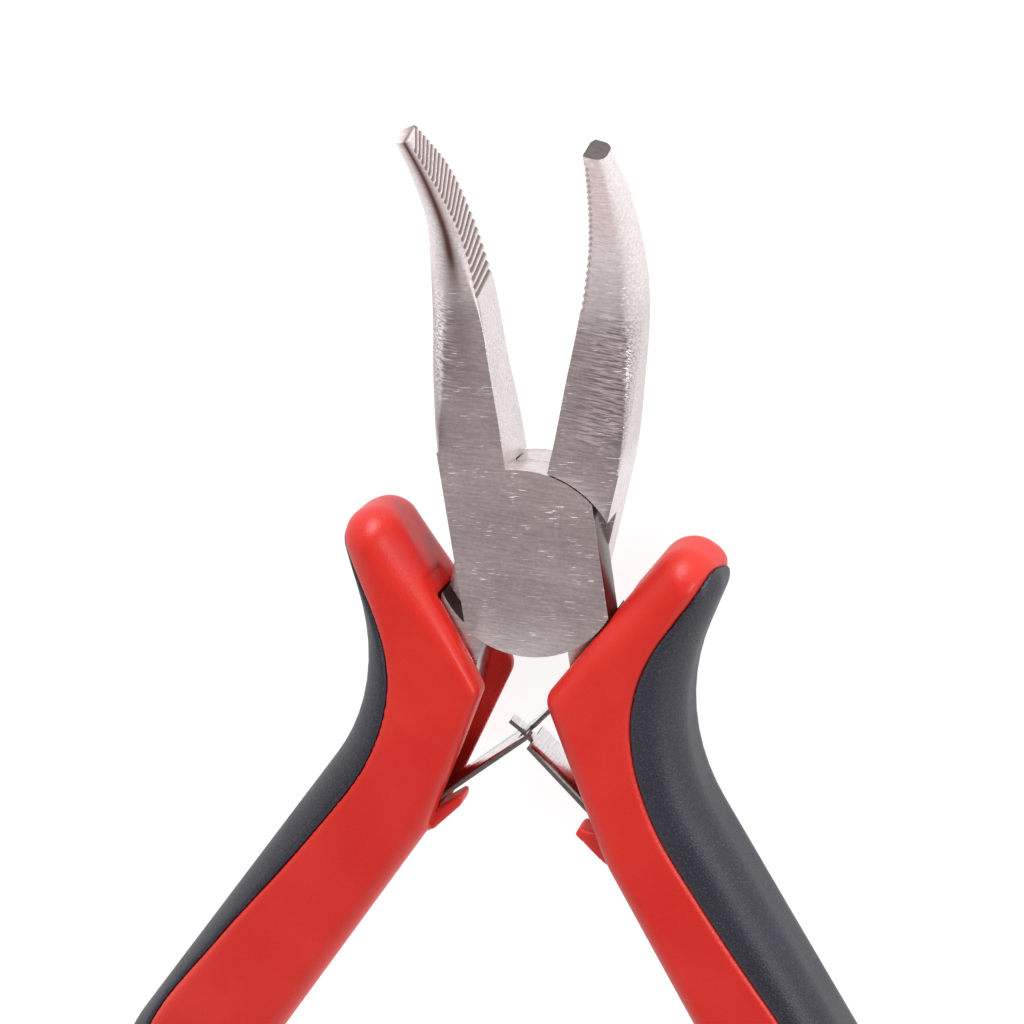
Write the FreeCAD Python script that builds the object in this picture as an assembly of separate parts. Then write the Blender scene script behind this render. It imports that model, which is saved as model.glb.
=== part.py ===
import FreeCAD, Part
import math
import os
from FreeCAD import Vector

# Bent-nose mini pliers, lying flat on their back in the open position that their springs hold.
# Millimetres. The Z axis is the pivot axis, Z = 0 is the joint's rear face, +Y runs towards the jaws
# and both jaw tips bend up towards +Z. The front half is left jaw, front plate and right tang.
# The rear half is right jaw, rear plate and left tang. Steel outlines are drawn closed, then opened.

# ---- joint -------------------------------------------------------------------------------------
OPENING = 20.5           # full turn of one half against the other, degrees
JOINT_THICK = 7.0        # both plates together
PLATE_GAP = 0.06         # running gap between the two plates
JOINT_R = 9.85           # radius of the plates' round ends about the pivot
SHOULDER_GAP = 0.15      # gap between a round end and the other half's hollow shoulder
PLATE_JAW_SIDE = 7.2     # from the pivot axis to the plate's edge below its own jaw
PLATE_TANG_SIDE = 7.9    # from the pivot axis to the plate's edge above its own tang
MID = JOINT_THICK / 2    # mid-plane of the joint, tangs, grips and springs

# ---- pivot rivet -------------------------------------------------------------------------------
RIVET_R = 2.5
RIVET_HEAD_R = 3.3       # at the ground-flush faces
RIVET_HEAD_DEPTH = 1.2
RIVET_CLEARANCE = 0.05   # radial, in the rear plate, which turns on it

# ---- jaws --------------------------------------------------------------------------------------
JAW_START = 12.0         # where the jaw stops being a plain block
JAW_RELIEF = 0.35        # the gripping faces stand back this much at the joint, so the tips meet first
TIP_GAP = 0.03           # from the closed plane to each gripping face at the tip
BEND_START = 22.0        # where the jaw begins to bend up
BEND_RISE = 1.0          # the centre line has risen this much by then, as the rear side thins
BEND_R = 24.0            # radius of the jaw's centre line
BEND_ANGLE = 50.0
TIP_RUN = 5.9            # straight length after the bend
TIP_FACE_ANGLE = 26.0    # how far the end face looks up from +Y
LEFT_SLIMMER = 0.13      # hand grinding has left the left jaw narrower than the right towards the tip
# distance along the jaw from JAW_START, width, thickness, corner radius in front, corner radius behind
JAW_SECTIONS = [
    (0.0, 6.85, 7.0, 0.3, 0.3),
    (2.5, 6.8, 6.7, 0.5, 0.4),
    (5.0, 6.7, 6.35, 0.8, 0.6),
    (10.0, 6.3, 5.7, 1.4, 0.9),
    (15.0, 5.7, 5.4, 1.9, 1.2),
    (19.2, 5.0, 5.0, 1.9, 1.3),
    (22.6, 4.25, 4.55, 1.8, 1.3),
    (26.2, 3.45, 4.35, 1.6, 1.3),
    (29.6, 2.95, 3.9, 1.4, 1.3),
    (32.7, 2.45, 3.2, 1.2, 1.1),
    (37.5, 1.85, 2.3, 0.9, 0.9),
]
TEETH = 23
TOOTH_PITCH = 0.9
TOOTH_DEPTH = 0.28
TEETH_FROM_TIP = 0.9     # first groove, measured back from the tip
TOOTH_TILT = (18.0, 66.0)  # the grooves fan round the bend: tilt of the first and of the last, degrees

# ---- tangs -------------------------------------------------------------------------------------
TANG_THICK = 4.7
TANG_INNER = 2.8         # from the closed plane to the tang's inner edge beside the joint
TANG_BEND = -20.5        # where that edge turns outwards into the grip

# ---- grips -------------------------------------------------------------------------------------
GRIP_THICK = 10.8
GRIP_EDGE_R = 2.6        # rounding of the front and rear edges
CHANNEL_WIDE = 5.4       # slot for tang and spring, across the thickness
CHANNEL_END = -31.0      # lower end of the slot that opens on the inner side
FIT = 0.1                # clearance round the tang inside the grip
REAR_CREST_X = 3.77      # crest of the rear wall, set back behind the front wall's crest
LIP_LOW = MID + 0.9
LIP_HIGH = MID + 3.1

# ---- springs -----------------------------------------------------------------------------------
PIN_X = 10.4             # cross pins that hold the leaf springs' eyes
PIN_Y = -29.4
PIN_R = 0.6
PIN_CLEARANCE = 0.05
EYE_R = 1.1
LEAF_THICK = 0.5
LEAF_WIDE = 5.0
CROSSING_Y = -19.8       # the leaves cross on the closed plane
NOTCH = 0.9              # the full-width blade stops this far before the crossing
TONGUE_OUT = 2.0         # length of the right leaf's tongue beyond the crossing
TONGUE_BEND = 8.5        # its end bends down by this, degrees
REAR_TINE_OUT = 2.9      # length of the left leaf's rear tine beyond the crossing
FRONT_TINE_OUT = 1.0
TINE_BEND = -6.0         # the tines' ends bend up
TONGUE_LOW = MID - 0.45  # the right leaf's tongue runs between these heights
TONGUE_HIGH = MID + 1.05
TONGUE_GAP = 0.2

Z_AXIS = Vector(0, 0, 1)
Y_AXIS = Vector(0, 1, 0)
ORIGIN = Vector(0, 0, 0)


def rounded_wire(corners, z):
    """Closed wire at height z through corners of (x, y, radius), each turned into a tangent arc."""
    points = [Vector(x, y, z) for x, y, radius in corners]
    edges = []
    last_end = None
    first_start = None
    for i, (x, y, radius) in enumerate(corners):
        here = points[i]
        back = (points[i - 1] - here).normalize()
        ahead = (points[(i + 1) % len(points)] - here).normalize()
        if radius == 0:
            start, end = here, here
        else:
            half = back.getAngle(ahead) / 2
            start = here + back * (radius / math.tan(half))
            end = here + ahead * (radius / math.tan(half))
            bisector = (back + ahead).normalize()
            middle = here + bisector * (radius / math.sin(half) - radius)
        if last_end is None:
            first_start = start
        else:
            edges.append(Part.makeLine(last_end, start))
        if radius > 0:
            edges.append(Part.Arc(start, middle, end).toShape())
        last_end = end
    edges.append(Part.makeLine(last_end, first_start))
    return Part.Wire(edges)


def slab(corners, low, high):
    """Solid between two heights with a rounded outline."""
    return Part.Face(rounded_wire(corners, low)).extrude(Vector(0, 0, high - low))


def spline_slab(points, closing, low, high):
    """Solid between two heights: a smooth curve through points, closed by straight lines through closing."""
    curve = Part.BSplineCurve()
    curve.interpolate([Vector(x, y, low) for x, y in points])
    corners = [points[-1], *closing, points[0]]
    lines = [
        Part.makeLine(Vector(*a, low), Vector(*b, low))
        for a, b in zip(corners, corners[1:])
    ]
    wire = Part.Wire([curve.toShape(), *lines])
    return Part.Face(wire).extrude(Vector(0, 0, high - low))


def disc(radius, low, high):
    return Part.makeCylinder(radius, high - low, Vector(0, 0, low))


def turned(shape, degrees):
    copy = shape.copy()
    copy.rotate(ORIGIN, Z_AXIS, degrees)
    return copy


def mirrored(shape):
    """Mirror image across the closed plane."""
    return shape.mirror(ORIGIN, Vector(1, 0, 0))


def flipped(shape):
    """The same solid turned half round about the line along Y through the joint's mid-plane."""
    copy = shape.copy()
    copy.rotate(Vector(0, 0, MID), Y_AXIS, 180)
    return copy


# ---- jaws --------------------------------------------------------------------------------------

JAW_LENGTH = BEND_START - JAW_START + math.radians(BEND_ANGLE) * BEND_R + TIP_RUN


def jaw_frame(s):
    """Centre of the jaw's side profile at distance s from JAW_START, with its forward and its up direction."""
    straight = BEND_START - JAW_START
    bend = math.radians(BEND_ANGLE) * BEND_R
    angle = min(max(s - straight, 0), bend) / BEND_R
    y = JAW_START + min(s, straight) + BEND_R * math.sin(angle)
    z = MID + BEND_RISE * min(s / straight, 1) + BEND_R * (1 - math.cos(angle))
    forward = Vector(0, math.cos(angle), math.sin(angle))
    up = Vector(0, -math.sin(angle), math.cos(angle))
    past = max(s - straight - bend, 0)
    return Vector(0, y, z) + forward * past, forward, up


def gripping_x(s):
    """How far the gripping face stands back from the closed plane at distance s."""
    return TIP_GAP + (JAW_RELIEF - TIP_GAP) * (1 - s / JAW_LENGTH)


def jaw_section(row, slimmer):
    """Wire across the left jaw: flat on the gripping side, rounded at its two outer corners."""
    s, width, thick, front_r, rear_r = row
    width *= 1 - slimmer * min((s / BEND_R) ** 2, 1)
    centre, forward, up = jaw_frame(s)
    side = Vector(-1, 0, 0)
    inner = gripping_x(s)
    top = thick / 2

    def at(across, high):
        return centre + side * across + up * high

    outer = inner + width
    diagonal = 1 - math.sqrt(0.5)
    return Part.Wire([
        Part.makeLine(at(inner, -top), at(inner, top)),
        Part.makeLine(at(inner, top), at(outer - front_r, top)),
        Part.Arc(
            at(outer - front_r, top),
            at(outer - front_r * diagonal, top - front_r * diagonal),
            at(outer, top - front_r),
        ).toShape(),
        Part.makeLine(at(outer, top - front_r), at(outer, -top + rear_r)),
        Part.Arc(
            at(outer, -top + rear_r),
            at(outer - rear_r * diagonal, -top + rear_r * diagonal),
            at(outer - rear_r, -top),
        ).toShape(),
        Part.makeLine(at(outer - rear_r, -top), at(inner, -top)),
    ])


def groove(s, tilt):
    """V-shaped prism that cuts one tooth gap across the gripping face at distance s."""
    centre = jaw_frame(s)[0]
    up = Vector(0, -math.sin(tilt), math.cos(tilt))
    along = Vector(0, math.cos(tilt), math.sin(tilt))
    across = Vector(-1, 0, 0)
    reach = 0.75 * JOINT_THICK
    inner = gripping_x(s)
    proud = 0.2
    base = centre - up * reach + across * (inner - proud)
    half = TOOTH_PITCH * 0.42 * (1 + proud / TOOTH_DEPTH)
    corners = [base - along * half, base + along * half, base + across * (proud + TOOTH_DEPTH)]
    return Part.Face(Part.makePolygon([*corners, corners[0]])).extrude(up * reach * 2)


def teeth():
    """All tooth gaps of one jaw, fanning round the bend."""
    low, high = (math.radians(tilt) for tilt in TOOTH_TILT)
    gaps = []
    for i in range(TEETH):
        share = i / (TEETH - 1)
        s = JAW_LENGTH - TEETH_FROM_TIP - (TEETH - 1 - i) * TOOTH_PITCH
        gaps.append(groove(s, low + share * (high - low)))
    return Part.makeCompound(gaps)


def beyond_tip():
    """Block in front of the tip's end face, which leans back less than the jaw does."""
    centre = jaw_frame(JAW_LENGTH)[0]
    block = Part.makeBox(40, 20, 40, centre - Vector(20, 0, 20))
    block.rotate(centre, Vector(1, 0, 0), TIP_FACE_ANGLE)
    return block


def left_jaw(slimmer):
    """The closed left jaw, from the joint's round end to the tip."""
    bar = Part.makeLoft([jaw_section(row, slimmer) for row in JAW_SECTIONS], True)
    inner = gripping_x(0)
    block = slab(
        [
            (-inner, JAW_START, 0),
            (-inner - JAW_SECTIONS[0][1], JAW_START, 0),
            (-PLATE_JAW_SIDE, 0, 0),
            (-inner, 0, 0),
        ],
        0,
        JOINT_THICK,
    )
    return block.fuse(bar.cut(beyond_tip())).cut(teeth())


# ---- steel halves ------------------------------------------------------------------------------

def plate(low, high):
    """Plate of the front half, between two heights: a strip with round ends about the pivot."""
    strip = Part.makeBox(
        PLATE_JAW_SIDE + PLATE_TANG_SIDE,
        4 * JOINT_R,
        high - low,
        Vector(-PLATE_JAW_SIDE, -2 * JOINT_R, low),
    )
    return strip.common(disc(JOINT_R, low, high))


def tang():
    """Closed right tang: a bar that leaves the joint beside the closed plane and follows the grip."""
    return slab(
        [
            (TANG_INNER, -6.0, 0),
            (PLATE_TANG_SIDE, -3.0, 0),
            (PLATE_TANG_SIDE, -20.0, 8.0),
            (11.4, -35.0, 20.0),
            (22.6, -60.0, 1.5),
            (18.8, -61.0, 1.5),
            (8.2, -35.5, 20.0),
            (6.8, -29.0, 3.0),
            (TANG_INNER, TANG_BEND, 3.0),
        ],
        MID - TANG_THICK / 2,
        MID + TANG_THICK / 2,
    )


def steel_half(jaw, web, arm, far_low, far_high):
    """One forging: jaw, plate and tang, with a round hollow that clears the other half's plate."""
    hollow = disc(JOINT_R + SHOULDER_GAP, far_low, far_high)
    body = jaw.fuse(arm).cut(hollow)
    return body.fuse(web).removeSplitter()


def front_half():
    seam = MID + PLATE_GAP / 2
    jaw = left_jaw(LEFT_SLIMMER)
    body = steel_half(jaw, plate(seam, JOINT_THICK), tang(), -1, seam)
    return body.cut(rivet(0))


def rear_half():
    seam = MID - PLATE_GAP / 2
    jaw = mirrored(left_jaw(0))
    web = mirrored(plate(0, seam))
    body = steel_half(jaw, web, mirrored(tang()), seam, JOINT_THICK + 1)
    return body.cut(rivet(RIVET_CLEARANCE))


def rivet(grow):
    """Rivet with two countersunk heads ground flush; grow adds a clearance all round."""
    outline = [
        (0, 0),
        (RIVET_HEAD_R + grow, 0),
        (RIVET_R + grow, RIVET_HEAD_DEPTH),
        (RIVET_R + grow, JOINT_THICK - RIVET_HEAD_DEPTH),
        (RIVET_HEAD_R + grow, JOINT_THICK),
        (0, JOINT_THICK),
        (0, 0),
    ]
    face = Part.Face(Part.makePolygon([Vector(r, 0, z) for r, z in outline]))
    return face.revolve(ORIGIN, Z_AXIS, 360)


# ---- grips, drawn open, on the right -----------------------------------------------------------

GRIP_OUTLINE = [         # corners and their radii, clockwise from the top of the thumb stop
    (15.0, 4.4, 3.2),
    (20.3, 1.5, 3.2),
    (14.6, -15.8, 22.9),
    (47.8, -66.7, 25.0),
    (51.0, -84.6, 5.5),
    (39.3, -85.4, 5.0),
    (33.0, -70.4, 25.0),
    (9.6, -31.2, 20.0),
    (2.6, -13.9, 2.0),
]
INLAY_EDGE = [           # line on the outer side where the soft inlay meets the shell
    (19.4, 4.6),
    (18.6, 0.2),
    (16.7, -3.3),
    (14.7, -6.8),
    (13.4, -10.2),
    (12.85, -13.6),
    (13.0, -17.0),
    (14.0, -21.2),
    (16.3, -26.4),
    (20.4, -32.5),
    (24.8, -38.6),
    (29.4, -44.6),
    (34.7, -51.7),
    (41.3, -61.1),
    (43.9, -69.0),
    (44.7, -77.0),
    (45.2, -88.0),
]


def grip_blank():
    low = MID - GRIP_THICK / 2
    high = MID + GRIP_THICK / 2
    blank = slab(GRIP_OUTLINE, low, high)
    rims = [e for e in blank.Edges if abs(e.BoundBox.ZLength) < 1e-6]
    return blank.makeFillet(GRIP_EDGE_R, rims)


def inlay_region():
    """Everything on the outer side of the inlay's edge."""
    outside = [(70.0, -88.0), (70.0, 10.0), (19.4, 10.0)]
    return spline_slab(INLAY_EDGE, outside, -10, 20)


def channel():
    """Slot on the inner side and at the joint, with room for the tang and the spring."""
    low = MID - CHANNEL_WIDE / 2
    high = MID + CHANNEL_WIDE / 2
    opening = slab(
        [
            (-2.0, -9.0, 0),
            (8.4, 2.0, 0),
            (10.9, -1.0, 2.0),
            (9.8, -14.0, 4.0),
            (13.6, CHANNEL_END + 4.6, 1.0),
            (11.2, CHANNEL_END, 1.0),
            (6.0, CHANNEL_END + 1.4, 0),
        ],
        low,
        high,
    )
    grown = turned(tang(), OPENING / 2).makeOffsetShape(FIT, 1e-3)
    return opening.fuse(grown)


def lip(crest):
    """Pointed lip that closes the slot's lower end; crest is its free edge from top to underside."""
    root = [(12.5, CHANNEL_END - 2.0, 0), (12.5, CHANNEL_END + 0.2, 0), (9.0, CHANNEL_END + 0.3, 0)]
    return slab([*crest, *root], LIP_LOW, LIP_HIGH).cut(spring_pin())


def rear_wall_cut():
    """What the rear wall lacks beside the slot, most at the knee."""
    return slab(
        [
            (-4.0, -13.9, 0),
            (7.0, -2.0, 0),
            (10.0, -3.0, 0),
            (REAR_CREST_X, -13.9, 2.0),
            (9.3, -30.5, 0),
            (0.0, -30.0, 0),
        ],
        MID - GRIP_THICK,
        MID,
    )


def grip_wall():
    return grip_blank().cut(inlay_region()).cut(rear_wall_cut()).cut(channel()).cut(spring_pin())


def right_grip_shell():
    crest = [(6.6, -28.4, 0.2), (6.1, -29.2, 0.2), (9.3, -32.0, 1.0)]
    return grip_wall().fuse(lip(crest)).removeSplitter()


def left_grip_shell():
    """The same moulding turned over, except that its lip is on the front side too and a little higher."""
    crest = [(6.1, -26.7, 0.3), (6.3, -28.2, 0.8), (9.3, -31.6, 0.5)]
    return flipped(grip_wall()).fuse(mirrored(lip(crest))).removeSplitter()


def grip_inlay():
    return grip_blank().common(inlay_region())


# ---- springs, drawn open, on the right ---------------------------------------------------------

def spring_pin():
    reach = CHANNEL_WIDE + 2.4
    return Part.makeCylinder(PIN_R, reach, Vector(PIN_X, PIN_Y, MID - reach / 2))


def strip(points, low, high):
    """Bent strip of spring steel along points, between two heights."""
    half = LEAF_THICK / 2
    left = []
    right = []
    for i, (x, y) in enumerate(points):
        before = points[max(i - 1, 0)]
        after = points[min(i + 1, len(points) - 1)]
        run = Vector(after[0] - before[0], after[1] - before[1], 0).normalize()
        left.append((x - run.y * half, y + run.x * half))
        right.append((x + run.y * half, y - run.x * half))
    outline = [(x, y, 0) for x, y in left + right[::-1]]
    return slab(outline, low, high)


def leaf(tabs, bend_angle):
    """Leaf spring with an eye round its pin, a plain blade, and tabs of (low, high, reach) past the crossing."""
    rise = CROSSING_Y - PIN_Y
    length = math.hypot(PIN_X, rise)
    ahead = Vector(-PIN_X / length, rise / length, 0)
    start = Vector(PIN_X, PIN_Y, 0) + ahead * (EYE_R - LEAF_THICK / 2)
    notch = Vector(0, CROSSING_Y, 0) - ahead * NOTCH
    low = MID - LEAF_WIDE / 2
    high = MID + LEAF_WIDE / 2
    blade = strip([(start.x, start.y), (notch.x, notch.y)], low, high)
    eye = Part.makeCylinder(EYE_R, LEAF_WIDE, Vector(PIN_X, PIN_Y, low))
    whole = blade.fuse(eye)
    hook = FreeCAD.Rotation(Z_AXIS, bend_angle).multVec(ahead)
    knee = Vector(0, CROSSING_Y, 0) + ahead * 0.5
    for tab_low, tab_high, reach in tabs:
        end = knee + hook * (reach - 0.5)
        tab = strip([(notch.x, notch.y), (knee.x, knee.y), (end.x, end.y)], tab_low, tab_high)
        whole = whole.fuse(tab)
    bore = Part.makeCylinder(PIN_R + PIN_CLEARANCE, LEAF_WIDE, Vector(PIN_X, PIN_Y, low))
    return whole.cut(bore).removeSplitter()


def right_leaf():
    return leaf([(TONGUE_LOW, TONGUE_HIGH, TONGUE_OUT)], TONGUE_BEND)


def left_leaf():
    low = MID - LEAF_WIDE / 2
    high = MID + LEAF_WIDE / 2
    fork = [
        (low, TONGUE_LOW - TONGUE_GAP, REAR_TINE_OUT),
        (TONGUE_HIGH + TONGUE_GAP, high, FRONT_TINE_OUT),
    ]
    return mirrored(leaf(fork, TINE_BEND))


# ---- all pieces, open --------------------------------------------------------------------------

NODES = {
    "front_half": turned(front_half(), OPENING / 2),
    "rear_half": turned(rear_half(), -OPENING / 2),
    "pivot_rivet": rivet(0),
    "right_grip_shell": right_grip_shell(),
    "left_grip_shell": left_grip_shell(),
    "right_grip_inlay": grip_inlay(),
    "left_grip_inlay": flipped(grip_inlay()),
    "right_spring_pin": spring_pin(),
    "left_spring_pin": flipped(spring_pin()),
    "right_leaf_spring": right_leaf(),
    "left_leaf_spring": left_leaf(),
}

os.makedirs("parts", exist_ok=True)
for name, shape in NODES.items():
    shape.exportStep(f"parts/{name}.step")
    print(name, shape.isValid(), len(shape.Solids), round(shape.Volume, 1))
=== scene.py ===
import math
import bmesh
import bpy
import numpy as np
from mathutils import Matrix, Vector


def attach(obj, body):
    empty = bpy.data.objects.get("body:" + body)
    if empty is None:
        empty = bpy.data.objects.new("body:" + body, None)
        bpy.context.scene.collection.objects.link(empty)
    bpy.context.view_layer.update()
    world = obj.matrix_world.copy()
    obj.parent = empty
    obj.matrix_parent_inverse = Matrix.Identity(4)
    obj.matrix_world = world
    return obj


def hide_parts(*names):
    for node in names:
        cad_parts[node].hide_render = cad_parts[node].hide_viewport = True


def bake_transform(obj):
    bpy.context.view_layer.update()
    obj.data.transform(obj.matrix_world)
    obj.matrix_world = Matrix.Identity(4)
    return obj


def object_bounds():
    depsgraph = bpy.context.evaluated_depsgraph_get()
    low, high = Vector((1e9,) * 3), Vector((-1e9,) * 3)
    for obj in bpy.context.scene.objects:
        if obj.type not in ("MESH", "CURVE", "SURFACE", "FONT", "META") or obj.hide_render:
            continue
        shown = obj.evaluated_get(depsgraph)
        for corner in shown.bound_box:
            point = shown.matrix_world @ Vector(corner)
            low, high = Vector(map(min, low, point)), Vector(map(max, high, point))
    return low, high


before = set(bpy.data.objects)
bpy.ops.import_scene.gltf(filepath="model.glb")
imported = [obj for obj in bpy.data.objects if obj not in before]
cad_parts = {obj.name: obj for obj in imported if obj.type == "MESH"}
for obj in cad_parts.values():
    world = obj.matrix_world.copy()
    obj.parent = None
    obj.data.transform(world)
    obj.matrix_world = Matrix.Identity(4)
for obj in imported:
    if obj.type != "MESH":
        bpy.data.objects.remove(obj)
cad_lo, cad_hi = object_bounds()

# The row frame is in metres. Helpers below work in millimetres with z measured from the joint's
# mid-plane, and lift the result into the row frame at the end.
MM = 0.001
MID = 3.5
OPEN_HALF = math.radians(10.25)     # each half is turned this much from the closed plane


# ---- meshes -------------------------------------------------------------------------------------

def make_object(name, points, faces, material):
    """Mesh object from points in millimetres about the joint's mid-plane."""
    points = np.asarray(points, float) + (0, 0, MID)
    mesh = bpy.data.meshes.new(name)
    mesh.from_pydata((points * MM).tolist(), [], [list(map(int, f)) for f in faces])
    mesh.validate()
    mesh.materials.append(material)
    obj = bpy.data.objects.new(name, mesh)
    bpy.context.scene.collection.objects.link(obj)
    return obj


def smooth(obj, angle):
    """Smooth shading, with creases kept where faces meet at more than angle, in degrees."""
    if "custom_normal" in obj.data.attributes:
        obj.data.attributes.remove(obj.data.attributes["custom_normal"])
    obj.data.shade_smooth()
    obj.data.set_sharp_from_angle(angle=math.radians(angle))


def rounded(corners, arc_steps=10):
    """Dense closed outline through corners of (x, y, radius)."""
    count = len(corners)
    out = []
    for i, (x, y, radius) in enumerate(corners):
        here = np.array((x, y), float)
        back = np.array(corners[i - 1][:2]) - here
        ahead = np.array(corners[(i + 1) % count][:2]) - here
        back /= np.linalg.norm(back)
        ahead /= np.linalg.norm(ahead)
        if radius == 0:
            out.append(here)
            continue
        half = math.acos(np.clip(back @ ahead, -1, 1)) / 2
        start = here + back * radius / math.tan(half)
        end = here + ahead * radius / math.tan(half)
        bisector = (back + ahead) / np.linalg.norm(back + ahead)
        centre = here + bisector * radius / math.sin(half)
        for k in range(arc_steps + 1):
            share = k / arc_steps
            ray = (start - centre) * (1 - share) + (end - centre) * share
            out.append(centre + ray / np.linalg.norm(ray) * radius)
    return np.array(out)


def turned(points, angle):
    """Points of the plane turned about the pivot axis."""
    c, s = math.cos(angle), math.sin(angle)
    points = np.asarray(points)
    return np.stack([points[:, 0] * c - points[:, 1] * s, points[:, 0] * s + points[:, 1] * c], 1)


def outline_distance(X, Y, outline):
    """Signed distance to a closed outline, negative inside."""
    best = np.full(X.shape, 1e9)
    inside = np.zeros(X.shape, bool)
    for (x0, y0), (x1, y1) in zip(outline, np.roll(outline, -1, 0)):
        dx, dy = x1 - x0, y1 - y0
        long2 = dx * dx + dy * dy
        if long2 < 1e-12:
            continue
        t = np.clip(((X - x0) * dx + (Y - y0) * dy) / long2, 0, 1)
        best = np.minimum(best, (X - x0 - t * dx) ** 2 + (Y - y0 - t * dy) ** 2)
        if dy:
            crosses = (y0 > Y) != (y1 > Y)
            inside ^= crosses & (X < x0 + (Y - y0) * dx / dy)
    return np.where(inside, -1, 1) * np.sqrt(best)


def path_distance(X, Y, path):
    """Signed distance to an open path, positive on its left."""
    best = np.full(X.shape, 1e9)
    side = np.zeros(X.shape)
    for (x0, y0), (x1, y1) in zip(path[:-1], path[1:]):
        dx, dy = x1 - x0, y1 - y0
        t = np.clip(((X - x0) * dx + (Y - y0) * dy) / (dx * dx + dy * dy), 0, 1)
        near = (X - x0 - t * dx) ** 2 + (Y - y0 - t * dy) ** 2
        closer = near < best
        side = np.where(closer, np.sign(dx * (Y - y0) - dy * (X - x0)), side)
        best = np.where(closer, near, best)
    return side * np.sqrt(best)


def smooth_path(points, steps=8):
    """Catmull-Rom curve through points."""
    p = np.asarray(points, float)
    p = np.vstack([2 * p[0] - p[1], p, 2 * p[-1] - p[-2]])
    out = []
    for a, b, c, d in zip(p[:-3], p[1:-2], p[2:-1], p[3:]):
        for k in range(steps):
            t = k / steps
            out.append(0.5 * (2 * b + (c - a) * t + (2 * a - 5 * b + 4 * c - d) * t * t
                              + (3 * b - 3 * c + d - a) * t ** 3))
    out.append(p[-2])
    return np.array(out)


def step(a, b, v):
    """Smooth step from 0 at a to 1 at b."""
    t = np.clip((v - a) / (b - a), 0, 1)
    return t * t * (3 - 2 * t)


def soft_max(a, b, k):
    """Larger of a and b, with the corner between them rounded over about k."""
    h = np.maximum(k - np.abs(a - b), 0) / k
    return np.maximum(a, b) + h * h * k / 4


def skin(field, origin, cell):
    """Closed quad skin of the region where field is negative, one point in each cell it crosses."""
    inner = field < 0
    shape = tuple(n - 1 for n in field.shape)
    total = np.zeros(shape + (3,))
    count = np.zeros(shape)
    starts = [(0, 0), (0, 1), (1, 0), (1, 1)]

    def part(axis, first, corner):
        window = [slice(None)] * 3
        others = [a for a in range(3) if a != axis]
        window[axis] = slice(0, -1) if first else slice(1, None)
        for a, side in zip(others, corner):
            window[a] = slice(side, field.shape[a] - 1 + side)
        return tuple(window)

    for axis in range(3):
        others = [a for a in range(3) if a != axis]
        for corner in starts:
            low, high = part(axis, True, corner), part(axis, False, corner)
            cut = inner[low] != inner[high]
            share = field[low][cut] / (field[low][cut] - field[high][cut])
            total[cut, axis] += share
            for a, side in zip(others, corner):
                total[cut, a] += side
            count[cut] += 1
    used = count > 0
    index = np.full(shape, -1)
    index[used] = np.arange(used.sum())
    points = (np.argwhere(used) + total[used] / count[used][:, None]) * cell + origin
    quads = []
    for axis in range(3):
        a, b = [(1, 2), (2, 0), (0, 1)][axis]
        low = [slice(1, -1)] * 3
        low[axis] = slice(0, -1)
        high = list(low)
        high[axis] = slice(1, None)
        change = inner[tuple(low)].astype(int) - inner[tuple(high)]
        at = np.argwhere(change)
        sign = change[tuple(at.T)]
        at[:, a] += 1
        at[:, b] += 1
        ring = []
        for da, db in ((0, 0), (-1, 0), (-1, -1), (0, -1)):
            c = at.copy()
            c[:, a] += da
            c[:, b] += db
            ring.append(index[tuple(c.T)])
        ring = np.stack(ring, 1)
        ring[sign < 0] = ring[sign < 0][:, ::-1]
        quads.append(ring)
    return points, np.concatenate(quads)


# ---- materials ----------------------------------------------------------------------------------

def srgb(r, g, b):
    """Display colour out of 255 as the linear colour that a shader takes."""
    def line(v):
        v /= 255
        return v / 12.92 if v <= 0.04045 else ((v + 0.055) / 1.055) ** 2.4
    return (line(r), line(g), line(b), 1.0)


class Nodes:
    """Short way to build a node tree."""

    def __init__(self, tree):
        self.tree = tree
        tree.nodes.clear()

    def add(self, kind, inputs=None, **settings):
        node = self.tree.nodes.new(kind)
        for key, value in settings.items():
            setattr(node, key, value)
        for key, value in (inputs or {}).items():
            if isinstance(value, bpy.types.NodeSocket):
                self.tree.links.new(value, node.inputs[key])
            else:
                node.inputs[key].default_value = value
        return node

    def mix(self, factor, a, b):
        """Colour a, with as much of the plain colour b as factor says."""
        values = {"Factor": factor, "A": a, "B": (*b, 1)}
        return self.add("ShaderNodeMix", values, data_type="RGBA").outputs["Result"]

    def ramp(self, value, stops, ease="EASE"):
        """Colour ramp through stops of (position, colour)."""
        node = self.tree.nodes.new("ShaderNodeValToRGB")
        self.tree.links.new(value, node.inputs[0])
        node.color_ramp.interpolation = ease
        elements = node.color_ramp.elements
        while len(elements) < len(stops):
            elements.new(0.5)
        for element, (at, colour) in zip(elements, stops):
            element.position = at
            element.color = colour if len(colour) == 4 else (*colour, 1)
        return node.outputs[0]

    def noise(self, where, scale, detail):
        """Noise around 0.5 at the given place."""
        values = {"Vector": where, "Scale": scale, "Detail": detail}
        return self.add("ShaderNodeTexNoise", values).outputs["Fac"]

    def span(self, value, low, high, to_low=0.0, to_high=1.0):
        """Value mapped from low..high to to_low..to_high, and held at both ends."""
        values = {0: value, 1: low, 2: high, 3: to_low, 4: to_high}
        return self.add("ShaderNodeMapRange", values).outputs[0]

    def math(self, operation, a, b=0.0, c=0.0):
        return self.add("ShaderNodeMath", {0: a, 1: b, 2: c}, operation=operation).outputs[0]


def new_material(name):
    """Material with an empty node tree, ready for nodes."""
    material = bpy.data.materials.new(name)
    material.use_nodes = True
    return material, Nodes(material.node_tree)


def grey(v):
    """Linear grey."""
    return (v, v, v, 1)


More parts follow.
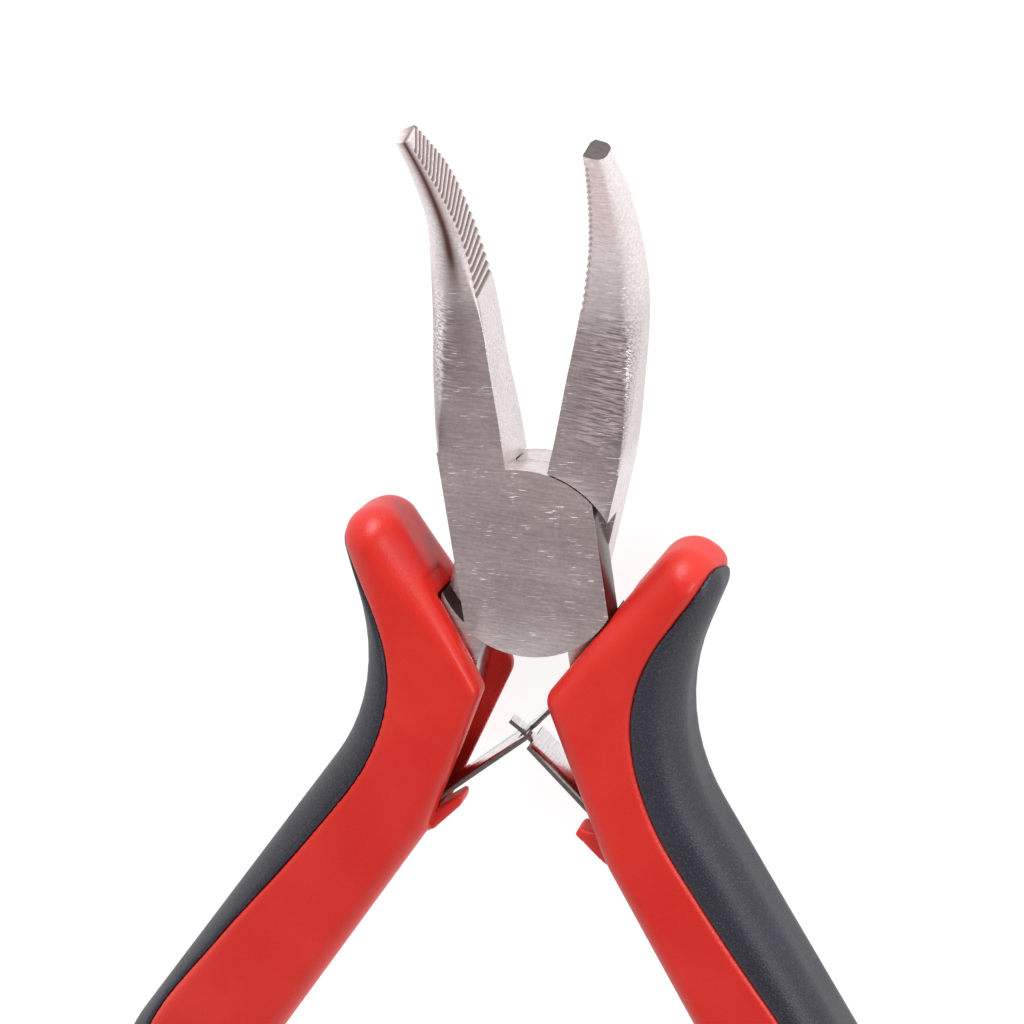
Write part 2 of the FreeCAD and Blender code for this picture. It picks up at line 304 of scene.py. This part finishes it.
def plastic(name, base, worn, roughness, grain, specular=0.4, painted_glint=0.0, rubbed=None):
    """Moulded plastic or rubber with a fine grain, uneven in colour, with painted glints in fine specks,
    and darker about a rubbed place.
    """
    material, n = new_material(name)
    place = n.add("ShaderNodeTexCoord").outputs["Object"]
    cloud = n.noise(place, 90.0, 4.0)
    speck = n.noise(place, 5200.0, 2.0)
    colour = n.ramp(cloud, [(0.3, base), (0.75, worn)])
    # painted glints: the finest specks are made lighter in the colour, standing in for sparkle
    light = tuple(2.2 * c + 0.03 for c in worn[:3])
    shine = n.span(speck, 0.5, 0.72, 0.0, painted_glint)
    colour = n.mix(shine, colour, light)
    if rubbed:
        far = n.add("ShaderNodeVectorMath", {0: place, 1: rubbed}, operation="DISTANCE").outputs["Value"]
        near = n.span(far, 0.0025, 0.007, 1.0, 0.0)
        rub = n.noise(place, 260.0, 4.0)
        rub = n.span(rub, 0.35, 0.65, 0.0, 0.8)
        colour = n.mix(n.math("MULTIPLY", near, rub), colour, (0.20, 0.05, 0.065))
    rough = n.span(cloud, 0.3, 0.7, roughness - 0.05, roughness + 0.06)
    bump = n.add("ShaderNodeBump", {"Height": speck, "Strength": grain, "Distance": 0.00006})
    shader = n.add("ShaderNodeBsdfPrincipled", {
        "Base Color": colour, "Roughness": rough, "Normal": bump.outputs[0],
        "Specular IOR Level": specular,
    })
    n.add("ShaderNodeOutputMaterial", {"Surface": shader.outputs[0]})
    return material


def steel(name, tone, roughness, along=0, scratches=0.0, jaw=False, shaded_end=False):
    """Ground steel: fine lines along one axis, a few short scratches, on a jaw its grinding marks with
    painted shade and a painted highlight, and on a tang's side painted shade beside the joint.
    """
    material, n = new_material(name)
    place = n.add("ShaderNodeTexCoord").outputs["Object"]

    def streaks(long, fine, detail, turn=0.0):
        """Noise drawn out along one axis, from its scale along that axis and across it."""
        scale = [fine, fine, fine]
        scale[along] = long
        spun = n.add("ShaderNodeMapping", {"Vector": place, "Rotation": (0, 0, turn)}).outputs[0]
        drawn = n.add("ShaderNodeMapping", {"Vector": spun, "Scale": scale}).outputs[0]
        return n.noise(drawn, 1.0, detail)

    lines = streaks(420.0, 5200.0, 3.0)
    grain = n.noise(place, 2600.0, 3.0)
    cloud = n.noise(place, 170.0, 4.0)
    colour = n.ramp(cloud, [(0.25, tuple(c * 0.88 for c in tone)), (0.75, tone)])
    fine = n.span(lines, 0.35, 0.65, 0.90, 1.12)
    speck = n.span(grain, 0.35, 0.65, 0.93, 1.07)
    shade = n.math("MULTIPLY", fine, speck)
    rough = n.span(cloud, 0.3, 0.7, roughness - 0.04, roughness + 0.05)
    height = n.math("MULTIPLY_ADD", grain, 0.5, lines)
    if scratches:
        deep = streaks(800.0, 9000.0, 0.0, -0.09)
        patch = n.noise(place, 420.0, 1.0)
        deep = n.math("MULTIPLY", n.span(deep, 0.69, 0.78), n.span(patch, 0.46, 0.60))
        shade = n.math("MULTIPLY_ADD", deep, scratches, shade)
        height = n.math("MULTIPLY_ADD", deep, -1.5, height)
        rough = n.math("MULTIPLY_ADD", deep, 0.25, rough)
    if jaw:
        marks = n.add("ShaderNodeAttribute", attribute_name="marks").outputs["Color"]
        marks = n.add("ShaderNodeSeparateColor", {0: marks})
        wavy = streaks(520.0, 5600.0, 3.0, 0.1)
        strong = n.math("SUBTRACT", n.span(wavy, 0.38, 0.62, 0.55, 1.45), 1.0)
        shade = n.math("MULTIPLY_ADD", n.math("MULTIPLY", strong, marks.outputs[0]), 1.0, shade)
        height = n.math("MULTIPLY_ADD", n.math("MULTIPLY", wavy, marks.outputs[0]), 2.5, height)
        # painted highlight: the jaw past the bend is made brighter, as well as rougher
        shade = n.math("MULTIPLY_ADD", marks.outputs[2], 0.14, shade)
        rough = n.math("MULTIPLY_ADD", marks.outputs[2], 0.22, rough)
    colour = n.add("ShaderNodeVectorMath", {0: colour, 1: shade}, operation="MULTIPLY").outputs[0]
    if jaw:
        # painted shade: the dark band, the outer strip and the grooves are mixed towards dark brown
        colour = n.mix(marks.outputs[1], colour, (0.12, 0.058, 0.045))
    if shaded_end:
        # painted shade: dark beside the joint, where the tang lies in shadow, brighter from where the tang
        # enters the grip
        along_y = n.add("ShaderNodeSeparateXYZ", {0: place}).outputs["Y"]
        there = n.span(along_y, -0.0125, -0.009, 0.0, 0.88)
        colour = n.mix(there, colour, (0.09, 0.075, 0.07))
    bump = n.add("ShaderNodeBump", {"Height": height, "Strength": 0.45, "Distance": 0.00002})
    shader = n.add("ShaderNodeBsdfPrincipled", {
        "Base Color": colour, "Metallic": 1.0, "Roughness": rough, "Normal": bump.outputs[0],
    })
    n.add("ShaderNodeOutputMaterial", {"Surface": shader.outputs[0]})
    return material


LEFT_THUMB_STOP = (-0.0128, 0.001, 0.002)
RED_MOULDING = (srgb(192, 29, 18), srgb(200, 40, 29), 0.40, 0.4, 0.4, 0.05)
RED = plastic("red plastic", *RED_MOULDING)
SCUFFED_RED = plastic("scuffed red plastic", *RED_MOULDING, rubbed=LEFT_THUMB_STOP)
BLACK = plastic("black rubber", srgb(26, 25, 36), srgb(33, 32, 44), 0.48, 0.8, 0.5, 0.55)
STEEL = steel("ground steel", (0.72, 0.655, 0.65), 0.27, 0, 0.75)
JAW_STEEL = steel("jaw steel", (0.70, 0.64, 0.64), 0.25, 0, 0.5, True)
TANG_EDGE = steel("tang edge", (0.62, 0.57, 0.57), 0.3, 2, shaded_end=True)
TIP_STEEL = steel("dark tip face", (0.13, 0.115, 0.11), 0.45)
POLISHED = steel("polished strip", (0.80, 0.79, 0.80), 0.12, 2)
SHEARED = steel("sheared strip edge", (0.22, 0.20, 0.19), 0.4, 2)


# ---- steel halves -------------------------------------------------------------------------------
# Each half is the joint plate with its tang, and a jaw lofted along a bent line, drawn closed.

JAW_START = 12.0
BEND_START, BEND_RISE, BEND_R, BEND = 22.0, 1.0, 24.0, math.radians(50)
JAW_LENGTH = BEND_START - JAW_START + BEND * BEND_R + 5.9
TIP_GAP, RELIEF = 0.03, 0.32        # from the closed plane at the tip, and how much more at the joint
LEFT_SLIMMER = 0.13                 # share by which the left jaw is narrower towards the tip
TIP_LEAN = math.radians(24)         # the end face against a square end
# distance along the jaw, width, thickness, then the outer corners' radii: in front on the left jaw,
# in front on the right jaw, behind
JAW_TABLE = np.array([
    (0.0, 6.85, 7.0, 0.3, 0.3, 0.3), (2.5, 6.8, 6.7, 0.8, 0.5, 0.4), (5.0, 6.7, 6.35, 1.5, 0.8, 0.6),
    (10.0, 6.3, 5.7, 2.3, 1.4, 0.9), (15.0, 5.7, 5.4, 2.6, 1.9, 1.2), (19.2, 5.0, 5.0, 2.5, 2.0, 1.3),
    (22.6, 4.25, 4.55, 2.2, 1.9, 1.3), (26.2, 3.45, 4.35, 1.8, 1.7, 1.3), (29.6, 2.95, 3.9, 1.5, 1.5, 1.3),
    (32.7, 2.45, 3.2, 1.2, 1.2, 1.1), (37.5, 1.85, 2.3, 0.9, 0.9, 0.9),
])
TEETH, TOOTH_PITCH, TOOTH_DEPTH, FIRST_TOOTH = 23, 0.9, 0.28, 0.9
TOOTH_TILT = np.radians((18.0, 66.0))


def spline(x, xs, ys):
    """Natural cubic spline through (xs, ys)."""
    h = np.diff(xs)
    count = len(xs)
    a = np.eye(count)
    b = np.zeros(count)
    for i in range(1, count - 1):
        a[i, i - 1:i + 2] = h[i - 1], 2 * (h[i - 1] + h[i]), h[i]
        b[i] = 6 * ((ys[i + 1] - ys[i]) / h[i] - (ys[i] - ys[i - 1]) / h[i - 1])
    m = np.linalg.solve(a, b)
    i = np.clip(np.searchsorted(xs, x) - 1, 0, count - 2)
    p, q = xs[i + 1] - x, x - xs[i]
    return (m[i] * p ** 3 + m[i + 1] * q ** 3) / (6 * h[i]) + (ys[i] / h[i] - m[i] * h[i] / 6) * p \
        + (ys[i + 1] / h[i] - m[i + 1] * h[i] / 6) * q


def jaw_line(s):
    """Centre of the jaw's side profile at s, as (y, z) from the mid-plane, and its angle."""
    angle = np.clip(s - (BEND_START - JAW_START), 0, BEND * BEND_R) / BEND_R
    past = np.maximum(s - (BEND_START - JAW_START) - BEND * BEND_R, 0)
    rise = BEND_RISE * step(0, 1, np.minimum(s / (BEND_START - JAW_START), 1))
    y = JAW_START + np.minimum(s, BEND_START - JAW_START) + BEND_R * np.sin(angle) + past * np.cos(angle)
    z = rise + BEND_R * (1 - np.cos(angle)) + past * np.sin(angle)
    return y, z, angle


def jaw_ring(s, left):
    """Section outline as (outward, up) points, from the gripping face's rear edge forwards and round."""
    w, t, left_r, right_r, rear = (float(spline(s, JAW_TABLE[:, 0], JAW_TABLE[:, k])) for k in range(1, 6))
    if left:
        w *= 1 - LEFT_SLIMMER * min((s / BEND_R) ** 2, 1)
    front = min(left_r if left else right_r, 0.62 * w, 0.62 * t)
    rear = min(rear, 0.45 * w, 0.35 * t)
    # the gripping face's front edge is rounded by lip, most where the jaw bends
    lip = 0.04 + (1.0 if left else 0.25) * float(step(10, 21, s)) * float(1 - 0.55 * step(20, 36, s))
    lip = min(lip, w - front - 0.1)
    h = t / 2
    ring = [(0, z) for z in np.linspace(-h, h - lip, 26)]
    ring += [(lip * (1 - math.cos(a)), h - lip + lip * math.sin(a))
             for a in np.linspace(0, math.pi / 2, 9)[1:]]
    ring += [(x, h) for x in np.linspace(lip, w - front, 12)[1:]]
    ring += [(w - front + front * math.sin(a), h - front + front * math.cos(a))
             for a in np.linspace(0, math.pi / 2, 14)[1:]]
    ring += [(w, z) for z in np.linspace(h - front, rear - h, 8)[1:]]
    ring += [(w - rear + rear * math.cos(a), rear - h - rear * math.sin(a))
             for a in np.linspace(0, math.pi / 2, 8)[1:]]
    ring += [(x, -h) for x in np.linspace(w - rear, 0, 10)[1:-1]]
    return np.array(ring)


def jaw(left):
    """Points, faces and marks of one closed jaw: grinding marks, painted shade and a painted highlight; x
    is negative on the left.
    """
    rows = np.concatenate([np.linspace(0, 15, 46), np.linspace(15, JAW_LENGTH, 260)[1:]])
    points, marks = [], []
    for s in rows:
        ring = jaw_ring(s, left)
        lean = np.tan(TIP_LEAN) * ring[:, 1] * float(step(JAW_LENGTH - 4, JAW_LENGTH, s))
        y, z, angle = jaw_line(np.full(len(ring), s))
        y = y + lean * np.cos(angle) - ring[:, 1] * np.sin(angle)
        z = z + lean * np.sin(angle) + ring[:, 1] * np.cos(angle)
        inner = TIP_GAP + RELIEF * (1 - s / JAW_LENGTH)
        points.append(np.stack([inner + ring[:, 0], y, z], 1))
        w = ring[:, 0].max()
        share = ring[:, 0] / w
        top = ring[:, 1] > 0
        # cross-brushed on the outer side of the front face, below and at the bend
        brushed = step(4, 9, s) * (1 - step(14, 19, s)) * step(0.35, 0.75, share) if left else \
            step(-1, 4, s) * (1 - step(13.5, 18.5, s)) * (0.35 + 0.65 * step(0.2, 0.5, share))
        plainer = (0.2 if left else 0.6) * step(0.85, 1.0, share)
        brushed = brushed * step(-0.8, 0.6, ring[:, 1]) * (1 - plainer)
        # painted shade and reflection: a dark band along the left jaw's front face, standing in for a
        # hollow, and the outer strip made darker
        painted_shade = np.zeros(len(ring))
        if left:
            at = 0.36 - 0.08 * step(22, 36, s)
            painted_shade = 0.8 * step(15, 22, s) * np.exp(-((share - at) / 0.13) ** 2) * top
            painted_shade = painted_shade + 0.28 * step(3, 12, s) * np.exp(-((share - 0.42) / 0.22) ** 2) * top
        shaded_outer_strip = step(0.78, 0.95, share) * (1 - step(14, 22, s)) * step(0, 3, s)
        painted_shade = painted_shade + (0.55 if left else 0.25) * shaded_outer_strip
        # rougher past the bend, and brighter there as a painted highlight
        soft = step(12, 20, s) * np.ones(len(ring))
        marks.append(np.stack([brushed * np.ones(len(ring)), painted_shade, soft], 1))
    points, marks = np.array(points), np.array(marks)
    flat = points.reshape(-1, 3)
    # grooves across the gripping face, fanned round the bend
    low, high = TOOTH_TILT
    depth = np.zeros(len(flat))
    for i in range(TEETH):
        tilt = low + (high - low) * i / (TEETH - 1)
        cy, cz, _ = jaw_line(np.array(JAW_LENGTH - FIRST_TOOTH - (TEETH - 1 - i) * TOOTH_PITCH))
        across = (flat[:, 1] - cy) * math.cos(tilt) + (flat[:, 2] - cz) * math.sin(tilt)
        depth = np.maximum(depth, 1 - np.abs(across) / (0.44 * TOOTH_PITCH))
    edge = (0.02, 0.2) if left else (0.12, 0.6)
    face_at = points[:, :, 0].min(1).repeat(points.shape[1])
    reach = 1 - step(*edge, flat[:, 0] - face_at)
    depth = np.clip(depth, 0, 1) * reach
    flat[:, 0] += depth * TOOTH_DEPTH
    marks = marks.reshape(-1, 3)
    # painted shade in the depths of the grooves
    marks[:, 1] = np.maximum(marks[:, 1], (0.8 if left else 0.4) * step(0.05, 0.5, depth))
    if left:
        flat[:, 0] *= -1
    n_rows, n_ring = points.shape[:2]
    faces = []
    for i in range(n_rows - 1):
        for k in range(n_ring):
            a, b = i * n_ring + k, i * n_ring + (k + 1) % n_ring
            quad = [a, b, b + n_ring, a + n_ring]
            faces.append(quad if left else quad[::-1])
    first = list(range(n_ring))
    last = [(n_rows - 1) * n_ring + k for k in range(n_ring)]
    faces += [first[::-1], last] if left else [first, last[::-1]]
    return flat, faces, marks


EDGE_BREAK = 0.09                   # the ground plates' edges are broken by this much
PLATE, JAW, TIP, TANG_SIDE = range(4)   # material slots of a half
HALF_MATERIALS = (STEEL, JAW_STEEL, TIP_STEEL, TANG_EDGE)


def half(node, left):
    """One steel half: joint plate and tang from the CAD, cut where the jaw starts, and the lofted jaw."""
    turn = -OPEN_HALF if left else OPEN_HALF
    mesh = bmesh.new()
    mesh.from_mesh(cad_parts[node].data)
    bmesh.ops.remove_doubles(mesh, verts=mesh.verts, dist=1e-7)
    bmesh.ops.transform(mesh, matrix=Matrix.Rotation(turn, 4, "Z"), verts=mesh.verts)
    bmesh.ops.bisect_plane(
        mesh, geom=mesh.verts[:] + mesh.edges[:] + mesh.faces[:], plane_co=(0, (JAW_START + 0.02) * MM, 0),
        plane_no=(0, 1, 0), clear_outer=True, dist=1e-8)
    bmesh.ops.holes_fill(mesh, edges=[e for e in mesh.edges if e.is_boundary])
    bmesh.ops.dissolve_limit(mesh, angle_limit=math.radians(0.5), verts=mesh.verts, edges=mesh.edges)
    # every sharp edge but the jaw's root and the rivet's hole
    sharp = [e for e in mesh.edges if len(e.link_faces) == 2 and e.calc_face_angle() > math.radians(35)
             and all(math.hypot(v.co.x, v.co.y) > 4 * MM for v in e.verts)
             and all(v.co.y < (JAW_START - 0.1) * MM for v in e.verts)]
    bmesh.ops.bevel(mesh, geom=sharp, offset=EDGE_BREAK * MM, segments=2, profile=0.5, affect="EDGES",
                    clamp_overlap=True)
    points, faces, marks = jaw(left)
    for face in mesh.faces:
        face.material_index = PLATE
    layer = mesh.verts.layers.float_color.new("marks")
    made = []
    for (x, y, z), (a, b, c) in zip(points, marks):
        vert = mesh.verts.new((x * MM, y * MM, (z + MID) * MM))
        vert[layer] = (a, b, c, 1)
        made.append(vert)
    caps = []
    for face in faces:
        new = mesh.faces.new([made[k] for k in face])
        new.material_index = JAW
        if len(face) > 4:
            caps.append(new)
    bmesh.ops.transform(mesh, matrix=Matrix.Rotation(-turn, 4, "Z"), verts=mesh.verts)
    if not left:
        caps[1].material_index = TIP
    data = bpy.data.meshes.new(node + "_ground")
    mesh.to_mesh(data)
    mesh.free()
    for material in HALF_MATERIALS:
        data.materials.append(material)
    for face in data.polygons:
        if face.material_index == PLATE and abs(face.normal.z) < 0.5 and face.center.y < -2 * MM:
            face.material_index = TANG_SIDE
    obj = bpy.data.objects.new(node + "_ground", data)
    bpy.context.scene.collection.objects.link(obj)
    smooth(obj, 24)
    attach(obj, node)
    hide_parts(node)


half("front_half", True)
half("rear_half", False)
TURNED_PARTS = {"pivot_rivet": STEEL, "right_spring_pin": POLISHED, "left_spring_pin": POLISHED}
for node, material in TURNED_PARTS.items():
    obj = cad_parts[node]
    obj.data.materials.clear()
    obj.data.materials.append(material)
    smooth(obj, 30)


# ---- grips --------------------------------------------------------------------------------------

CELL = 0.25                         # spacing of the grid that the grips' surfaces are drawn on
GRID_X, GRID_Y = (1.5, 51.5), (-87.0, 5.2)  # a little more than the outline spans
HALF_THICK = 5.4
SLOT_HALF = 2.7
EDGE_R = 2.2                        # rounding of the front and rear edges
INLAY_ROUNDER, STOP_ROUNDER = 1.7, 1.9  # more of it on the inlay, and on the thumb stop
OUTLINE = rounded([
    (15.0, 4.4, 3.2), (20.3, 1.5, 3.2), (14.6, -15.8, 22.9), (47.8, -66.7, 25.0), (51.0, -84.6, 5.5),
    (39.3, -85.4, 5.0), (33.0, -70.4, 25.0), (9.6, -31.2, 20.0), (2.6, -13.9, 2.0),
])
SEAM = smooth_path([
    (19.4, 7.0), (19.4, 4.0), (18.6, 0.2), (16.7, -3.3), (14.7, -6.8), (13.4, -10.2), (12.85, -13.6),
    (13.0, -17.0), (14.0, -21.2), (16.3, -26.4), (20.4, -32.5), (24.8, -38.6), (29.4, -44.6),
    (34.7, -51.7), (41.3, -61.1), (43.9, -69.0), (44.7, -77.0), (45.2, -90.0),
])
SEAM_SLANT = 0.185                  # the seam moves outwards by this for each millimetre forwards
SEAM_GROOVE, SEAM_WIDE = 0.25, 0.3
SEAM_GAP = 0.02                     # half the gap between shell and inlay
TANG_HALF, TANG_ROOM = 2.47, 0.12
LIP_MIDDLE, LIP_HALF = 1.7, 1.4     # in front of the mid-plane
SLOT = rounded([
    (-2.0, -9.0, 0), (6.5, -4.0, 0), (10.4, -5.2, 1.0), (9.8, -14.0, 4.0), (13.6, -26.4, 1.0),
    (11.2, -31.0, 1.0), (6.0, -29.6, 0),
])
TANG = turned(rounded([
    (2.8, -6.0, 0), (7.9, -3.0, 0), (7.9, -20.0, 8.0), (11.4, -35.0, 20.0), (22.6, -60.0, 1.5),
    (18.8, -61.0, 1.5), (8.2, -35.5, 20.0), (6.8, -29.0, 3.0), (2.8, -20.5, 3.0),
]), OPEN_HALF)
REAR_WALL = rounded([
    (-4.0, -13.9, 0), (7.0, -2.0, 0), (10.0, -3.0, 0), (3.77, -13.9, 2.0), (9.3, -30.5, 0), (0.0, -30.0, 0),
])
LIP_ROOT = [(12.5, -33.0, 0), (12.5, -30.8, 0), (9.6, -30.2, 0), (8.7, -28.8, 0)]
RIGHT_LIP = rounded([(6.6, -28.4, 0.2), (6.1, -29.2, 0.2), (9.3, -32.0, 1.0), *LIP_ROOT])
LEFT_LIP = rounded([(6.1, -26.7, 0.3), (6.3, -28.2, 0.8), (9.3, -31.6, 0.5), *LIP_ROOT])


def whole_grip(X, Y, Z):
    """Distance to the skin of shell and inlay together, and the distance outwards past their seam."""
    edge = outline_distance(X, Y, OUTLINE)
    beyond = path_distance(X, Y, SEAM)
    stop = step(-9, 9, Y + 0.4 * X)
    radius = (EDGE_R + INLAY_ROUNDER * step(-6, 4, beyond) * (1 - stop) + STOP_ROUNDER * stop)[:, :, None]
    edge, beyond = edge[:, :, None], beyond[:, :, None] + SEAM_SLANT * Z
    out = np.maximum(edge + radius, 0)
    up = np.maximum(np.abs(Z) - HALF_THICK + radius, 0)
    body = np.hypot(out, up) - radius
    body = np.where((out > 0) & (up > 0), body, np.maximum(edge, np.abs(Z) - HALF_THICK))
    body = body + SEAM_GROOVE * np.exp(-(beyond / SEAM_WIDE) ** 2)
    return body, beyond


def room_inside(X, Y, Z):
    """Distance to the slot for the leaf and the pocket for the tang, negative inside either."""
    slot = np.maximum(outline_distance(X, Y, SLOT)[:, :, None], np.abs(Z) - SLOT_HALF)
    tang = np.maximum(outline_distance(X, Y, TANG)[:, :, None] - TANG_ROOM, np.abs(Z) - TANG_HALF)
    return np.minimum(slot, tang)


def grip(side):
    """Shell and inlay of one grip. The left one is the right one turned over, its lip kept in front."""
    xs = np.arange(*GRID_X, CELL)
    ys = np.arange(*GRID_Y, CELL)
    zs = np.arange(-HALF_THICK - 3 * CELL, HALF_THICK + 3 * CELL, CELL)
    X, Y = np.meshgrid(xs, ys, indexing="ij")
    Z = zs[None, None, :]
    body, beyond = whole_grip(X, Y, Z)
    inlay = np.maximum(body, SEAM_GAP - beyond)
    shell = np.maximum(body, beyond + SEAM_GAP)
    rear = np.maximum(outline_distance(X, Y, REAR_WALL)[:, :, None], Z)
    shell = soft_max(shell, -rear, 0.8)
    shell = soft_max(shell, -room_inside(X, Y, Z), 0.25)
    front = Z if side > 0 else -Z
    crest = outline_distance(X, Y, RIGHT_LIP if side > 0 else LEFT_LIP)[:, :, None]
    lip = soft_max(crest, np.abs(front - LIP_MIDDLE) - LIP_HALF, 0.3)
    shell = np.minimum(shell, lip)
    origin = (xs[0], ys[0], zs[0])
    red = RED if side > 0 else SCUFFED_RED
    for name, field, material in (("shell", shell, red), ("inlay", inlay, BLACK)):
        points, quads = skin(field, origin, CELL)
        if side < 0:
            points = points * (-1, 1, -1)
        label = ("right" if side > 0 else "left") + "_grip_" + name
        obj = make_object(label + "_moulded", points, quads, material)
        smooth(obj, 40)
        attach(obj, "front_half" if side > 0 else "rear_half")
        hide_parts(label)


grip(1)
grip(-1)

# ---- leaf springs -------------------------------------------------------------------------------

PIN = np.array((10.4, -29.4))
CROSSING = np.array((0.0, -19.8))
LEAF_HALF = 2.5
LEAF_THICK = 0.5
ROOT_END = 0.9                      # the strip starts this far behind its pin
NOTCH = 0.9                         # the full-width blade stops this far before the crossing
BEND_FROM = 0.5                     # past the crossing, where the tabs bend
# tabs past the notch as (low, high, reach past the crossing), and their bend in degrees
TONGUE, TONGUE_BEND = [(-0.45, 1.05, 2.2)], 8.5
FORK, FORK_BEND = [(-2.5, -0.65, 2.9), (1.25, 2.5, 1.0)], -8.0


def leaf(side, tabs, bend):
    """Spring strip from its pin to past the crossing, ending in tabs."""
    ahead = CROSSING - PIN
    length = np.linalg.norm(ahead)
    ahead /= length
    normal = np.array((-ahead[1], ahead[0]))
    cuts = sorted({-LEAF_HALF, LEAF_HALF, *(t[0] for t in tabs), *(t[1] for t in tabs)})
    rows = list(np.linspace(-ROOT_END, length - NOTCH, 22)) + [length - 0.4, length, length + BEND_FROM]
    last = max(t[2] for t in tabs)
    rows += list(length + np.linspace(BEND_FROM, last, 6)[1:])
    mesh = bmesh.new()
    grid = {}

    def vertex(i, j):
        """The strip's corner at row i and cut j, made when first asked for."""
        if (i, j) not in grid:
            s, z = rows[i], cuts[j]
            over = max(s - length - BEND_FROM, 0)
            at = PIN + ahead * (s - over)
            turn = math.radians(bend)
            at = at + over * (ahead * math.cos(turn) + normal * math.sin(turn))
            grid[i, j] = mesh.verts.new((side * at[0] * MM, at[1] * MM, (z + MID) * MM))
        return grid[i, j]

    for i in range(len(rows) - 1):
        for j in range(len(cuts) - 1):
            middle_s = (rows[i] + rows[i + 1]) / 2 - length
            middle_z = (cuts[j] + cuts[j + 1]) / 2
            blade = middle_s < -NOTCH
            tab = any(t[0] <= middle_z <= t[1] and middle_s < t[2] for t in tabs)
            if blade or tab:
                mesh.faces.new([vertex(i, j), vertex(i + 1, j), vertex(i + 1, j + 1), vertex(i, j + 1)])
    bmesh.ops.recalc_face_normals(mesh, faces=mesh.faces)
    name = ("right" if side > 0 else "left") + "_leaf_spring"
    data = bpy.data.meshes.new(name + "_strip")
    mesh.to_mesh(data)
    mesh.free()
    data.materials.append(POLISHED)
    data.materials.append(SHEARED)
    obj = bpy.data.objects.new(name + "_strip", data)
    bpy.context.scene.collection.objects.link(obj)
    thick = obj.modifiers.new("thick", "SOLIDIFY")
    thick.thickness = LEAF_THICK * MM
    thick.offset = 0
    thick.use_even_offset = True
    thick.material_offset_rim = 1
    edge = obj.modifiers.new("edge", "BEVEL")
    edge.width = 0.07 * MM
    edge.segments = 2
    edge.limit_method = "ANGLE"
    final = bpy.data.meshes.new_from_object(obj.evaluated_get(bpy.context.evaluated_depsgraph_get()))
    obj.modifiers.clear()
    obj.data = final
    smooth(obj, 30)
    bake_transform(obj)
    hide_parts(name)


leaf(1, TONGUE, TONGUE_BEND)
leaf(-1, FORK, FORK_BEND)

# ---- floor, light, camera -----------------------------------------------------------------------

floor_z = cad_lo.z
bpy.ops.mesh.primitive_plane_add(size=4, location=(0, 0, floor_z))
floor = bpy.context.object
floor.name = "floor"
floor_material, n = new_material("floor")
tint = n.add("ShaderNodeTexNoise", {"Scale": 3.0}).outputs["Fac"]
paper = n.add("ShaderNodeBsdfDiffuse", {"Color": n.ramp(tint, [(0.3, grey(0.30)), (0.7, grey(0.32))])})
glow = n.add("ShaderNodeEmission", {"Color": (1, 1, 1, 1), "Strength": 0.86})
both = n.add("ShaderNodeAddShader", {0: paper.outputs[0], 1: glow.outputs[0]})
n.add("ShaderNodeOutputMaterial", {"Surface": both.outputs[0]})
floor.data.materials.append(floor_material)

world = bpy.data.worlds.new("studio")
bpy.context.scene.world = world
world.use_nodes = True
n = Nodes(world.node_tree)
way = n.add("ShaderNodeTexCoord").outputs["Generated"]
height = n.add("ShaderNodeSeparateXYZ", {0: way}).outputs["Z"]
sky = n.ramp(height, [
    (0.0, (1.0, 1.0, 1.0)), (0.45, (0.95, 0.94, 0.95)),
    (0.78, (0.43, 0.38, 0.385)), (1.0, (0.43, 0.37, 0.375)),
])
back = n.add("ShaderNodeBackground", {"Color": sky, "Strength": 1.0})
n.add("ShaderNodeOutputWorld", {"Surface": back.outputs[0]})


def lamp(name, place, size, power):
    """Round soft lamp aimed at the joint."""
    light = bpy.data.lights.new(name, "AREA")
    light.shape = "DISK"
    light.size = size
    light.energy = power
    obj = bpy.data.objects.new(name, light)
    obj.location = place
    obj.rotation_euler = (Vector((0, -0.02, 0)) - Vector(place)).to_track_quat("-Z", "Y").to_euler()
    bpy.context.scene.collection.objects.link(obj)
    return obj


lamp("key", (-0.1, 0.6, 0.28), 0.4, 4.0)
lamp("fill", (0.5, 0.1, 0.45), 0.2, 1.6)

# The camera looks from a little to the right and from beyond the jaws.
PHI, EPS, ROLL = math.radians(17.3), math.radians(20.5), math.radians(1.4)
CAMERA_AWAY, CAMERA_LEFT, CAMERA_UP = 200, 2.2, 4.1
SENSOR, LENS = 36, 70.3125
right = Vector((math.cos(PHI), 0, -math.sin(PHI)))
over = Vector((-math.sin(PHI) * math.sin(EPS), math.cos(EPS), -math.cos(PHI) * math.sin(EPS)))
toward = Vector((math.sin(PHI) * math.cos(EPS), math.sin(EPS), math.cos(PHI) * math.cos(EPS)))
cam_x = right * math.cos(ROLL) + over * math.sin(ROLL)
cam_y = over * math.cos(ROLL) - right * math.sin(ROLL)
spot = Vector((0, 0, MID)) + toward * CAMERA_AWAY - cam_x * CAMERA_LEFT + cam_y * CAMERA_UP
camera = bpy.data.objects.new("camera", bpy.data.cameras.new("camera"))
bpy.context.scene.collection.objects.link(camera)
basis = Matrix((cam_x, cam_y, toward)).transposed().to_4x4()
camera.matrix_world = Matrix.Translation(spot * MM) @ basis
camera.data.sensor_width = SENSOR
camera.data.lens = LENS
camera.data.clip_start = 0.01
bpy.context.scene.camera = camera

bpy.context.scene.view_settings.view_transform = "Standard"
